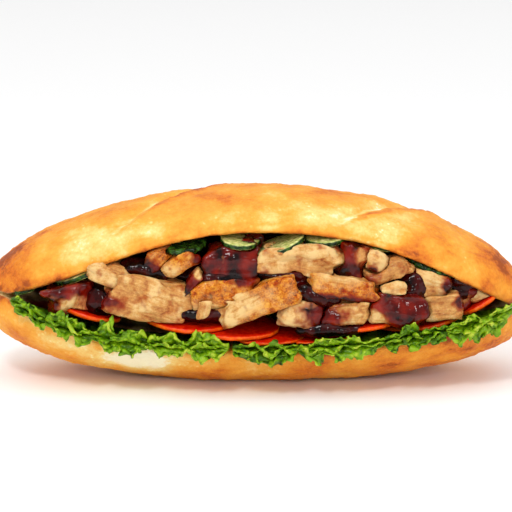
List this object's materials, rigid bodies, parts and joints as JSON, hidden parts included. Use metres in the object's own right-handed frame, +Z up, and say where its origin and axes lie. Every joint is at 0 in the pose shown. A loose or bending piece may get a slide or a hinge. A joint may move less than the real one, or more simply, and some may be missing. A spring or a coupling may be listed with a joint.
{
  "type": "banh mi sandwich",
  "caption": "Filled banh mi: a crusty golden roll slit along its front, with glazed grilled chicken, cucumber, carrot and frilly lettuce showing in the open mouth.",
  "frame": {"origin": "under the middle of the sandwich's box, on the surface that it rests on", "axes": "+X along the roll, +Y towards its uncut back, so the open slit faces -Y, +Z up"},
  "size_m": [0.2382, 0.0898, 0.0825],
  "materials": {
    "bread_crust": "baked golden crust, satin, uneven",
    "bread_crumb": "soft porous crumb, matt",
    "lettuce_leaf": "fresh leaf, slightly glossy",
    "carrot_flesh": "moist cut root",
    "cucumber_rind": "wet dark rind with pale cut face",
    "chicken_meat": "moist fibrous cooked meat",
    "chicken_seared": "browned oily skin",
    "chicken_glazed": "thick dark glaze, wet gloss"
  },
  "bodies": {
    "root": {"bread": "bread_crust", "lettuce_1": "lettuce_leaf", "lettuce_2": "lettuce_leaf", "lettuce_3": "lettuce_leaf", "lettuce_4": "lettuce_leaf", "lettuce_5": "lettuce_leaf", "lettuce_6": "lettuce_leaf", "lettuce_7": "lettuce_leaf", "lettuce_8": "lettuce_leaf", "carrot_1": "carrot_flesh", "carrot_2": "carrot_flesh", "carrot_3": "carrot_flesh", "carrot_4": "carrot_flesh", "carrot_5": "carrot_flesh", "carrot_6": "carrot_flesh", "carrot_7": "carrot_flesh", "carrot_8": "carrot_flesh", "cucumber_1": "cucumber_rind", "cucumber_2": "cucumber_rind", "cucumber_3": "cucumber_rind", "cucumber_4": "cucumber_rind", "cucumber_5": "cucumber_rind", "cucumber_6": "cucumber_rind", "cucumber_7": "cucumber_rind", "cucumber_8": "cucumber_rind", "chicken_01": "chicken_glazed", "chicken_02": "chicken_meat", "chicken_03": "chicken_meat", "chicken_04": "chicken_seared", "chicken_05": "chicken_seared", "chicken_06": "chicken_glazed", "chicken_07": "chicken_glazed", "chicken_08": "chicken_seared", "chicken_09": "chicken_seared", "chicken_10": "chicken_meat", "chicken_11": "chicken_meat", "chicken_12": "chicken_glazed", "chicken_13": "chicken_meat", "chicken_14": "chicken_meat", "chicken_15": "chicken_seared", "chicken_16": "chicken_meat", "chicken_17": "chicken_meat", "chicken_18": "chicken_meat", "chicken_19": "chicken_glazed", "chicken_20": "chicken_meat", "chicken_21": "chicken_meat", "chicken_22": "chicken_glazed", "chicken_23": "chicken_meat", "chicken_24": "chicken_glazed", "chicken_bed": "chicken_glazed"}
  },
  "joints": []
}
